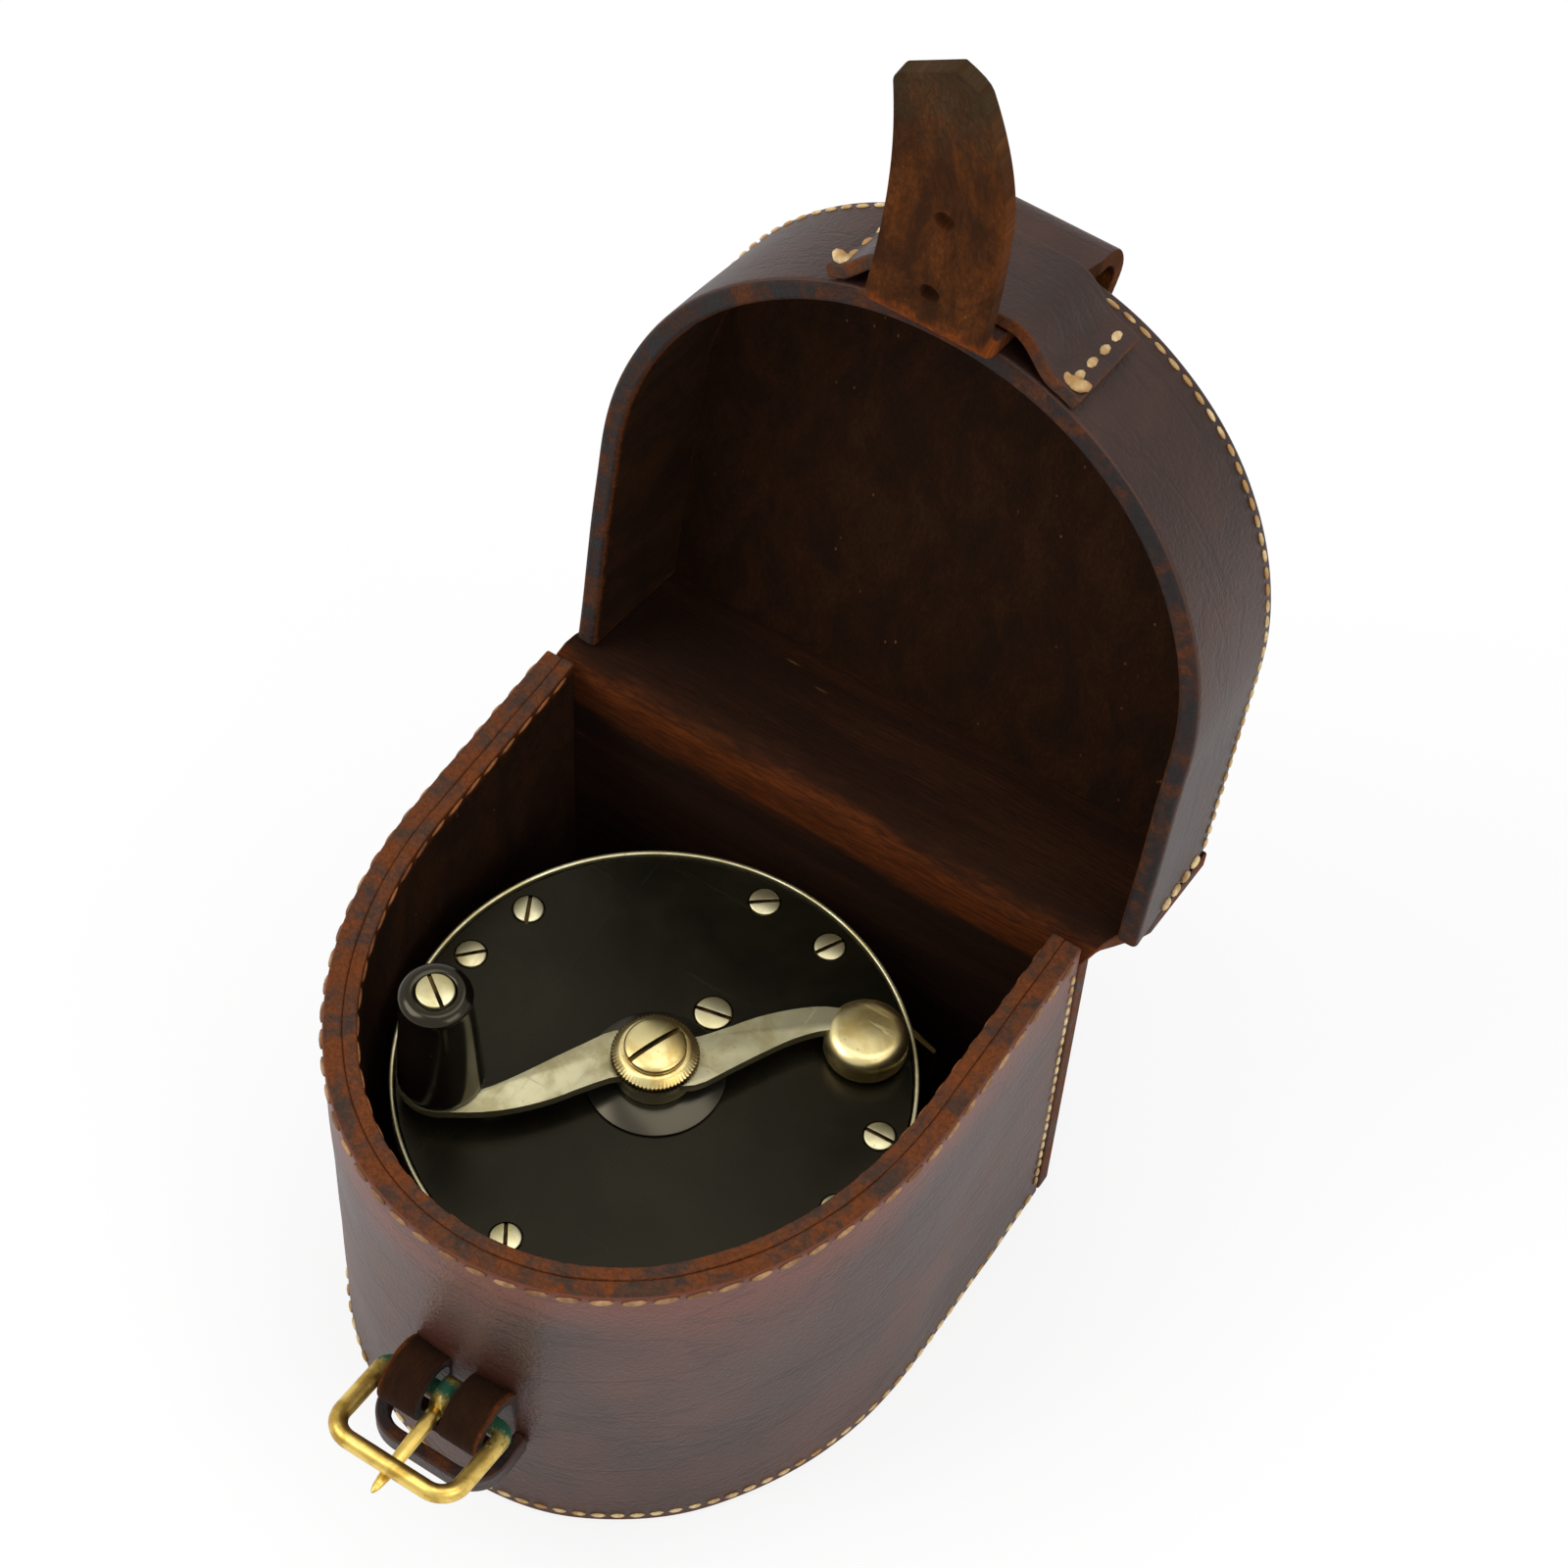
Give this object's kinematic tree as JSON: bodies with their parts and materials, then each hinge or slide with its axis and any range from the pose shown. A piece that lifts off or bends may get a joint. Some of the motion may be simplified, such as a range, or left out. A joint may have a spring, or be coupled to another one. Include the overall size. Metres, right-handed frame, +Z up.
{
  "type": "cased fly fishing reel",
  "caption": "Single-action fishing reel with a cranked handle and counterweight, standing in an open D-shaped leather case with a hinged lid, closing strap and buckle.",
  "frame": {"origin": "on the underside of the case base, at the centre of the D, where the straight sides end and the front curve begins", "axes": "+Z up through the case mouth, +Y to the hinge at the back, +X to the right seen from the buckle side"},
  "size_m": [0.1168, 0.1853, 0.2513],
  "materials": {
    "case_leather": "polished dark oxblood",
    "lining_leather": "rough suede, worn",
    "strap_leather": "flesh side, rough",
    "hard_rubber": "polished black",
    "nickel_silver": "warm aged polish",
    "brass": "aged with verdigris",
    "spring_steel": "satin"
  },
  "bodies": {
    "case": {"case_wall": "case_leather", "rim_lining": "lining_leather", "case_base": "case_leather", "case_back_wall": "case_leather", "hinge_strip": "lining_leather", "buckle_chape": "case_leather", "buckle_keeper": "case_leather"},
    "lid": {"lid_wall": "case_leather", "lid_panel": "case_leather", "lid_back_wall": "case_leather", "bridge_loop": "case_leather", "strap_base": "case_leather", "strap_fold": "strap_leather"},
    "strap": {"strap_tail": "strap_leather"},
    "buckle": {"buckle_frame": "brass"},
    "prong": {"buckle_prong": "brass"},
    "reel": {"face_plate": "hard_rubber", "tail_plate": "hard_rubber", "face_rim": "nickel_silver", "tail_rim": "nickel_silver", "face_screw_1": "nickel_silver", "face_screw_2": "nickel_silver", "face_screw_3": "nickel_silver", "face_screw_4": "nickel_silver", "face_screw_5": "nickel_silver", "face_screw_6": "nickel_silver", "face_screw_7": "nickel_silver", "oil_screw": "nickel_silver", "face_bearing": "hard_rubber", "tail_bearing": "nickel_silver", "pillar_1": "nickel_silver", "pillar_2": "nickel_silver", "pillar_3": "nickel_silver", "pillar_4": "nickel_silver", "pillar_5": "nickel_silver", "pillar_6": "nickel_silver", "pillar_7": "nickel_silver", "foot_bridge": "nickel_silver", "reel_foot": "nickel_silver", "foot_screw_1": "nickel_silver", "foot_screw_2": "nickel_silver", "click_spring": "spring_steel"},
    "spool": {"spool_rear_flange": "nickel_silver", "spool_front_flange": "nickel_silver", "spool_arbor": "hard_rubber", "click_wheel": "brass", "spindle": "nickel_silver", "handle_arm": "nickel_silver", "knurled_collar": "nickel_silver", "hub_screw": "nickel_silver", "counterweight": "nickel_silver", "knob_pin": "nickel_silver"},
    "knob": {"handle_knob": "hard_rubber"},
    "click": {"click_pawl": "spring_steel", "click_button": "nickel_silver"}
  },
  "joints": [
    {"name": "lid_hinge", "type": "hinge", "parent": "case", "child": "lid", "pos_m": [0, 0.0408, 0.08425], "axis": [-1, 0, 0], "range_deg": [-98.7, 25], "deforming": ["hinge_strip"]},
    {"name": "strap_bend", "type": "hinge", "parent": "lid", "child": "strap", "pos_m": [0.0054, 0.05904, 0.19982], "axis": [-1, 0, 0], "range_deg": [-45, 40], "deforming": ["strap_fold"]},
    {"name": "buckle_swing", "type": "hinge", "parent": "case", "child": "buckle", "pos_m": [0.0015, -0.0712, 0.042], "axis": [-1, 0, 0], "range_deg": [-50, 70]},
    {"name": "prong_swing", "type": "hinge", "parent": "buckle", "child": "prong", "pos_m": [0.0015, -0.0712, 0.042], "axis": [1, 0, 0], "range_deg": [0, 36]},
    {"name": "reel_lift", "type": "slide", "parent": "case", "child": "reel", "axis": [0, 0, 1], "range_m": [0, 0.12]},
    {"name": "handle_spin", "type": "hinge", "parent": "reel", "child": "spool", "pos_m": [0.0019, -0.0107, 0.0675], "axis": [0, 0, 1], "continuous": true},
    {"name": "knob_spin", "type": "hinge", "parent": "spool", "child": "knob", "pos_m": [-0.02582, -0.03368, 0.07], "axis": [0, 0, 1], "continuous": true},
    {"name": "click_slide", "type": "slide", "parent": "reel", "child": "click", "axis": [-0.0924, -0.9957, 0], "range_m": [0, 0.003]}
  ]
}
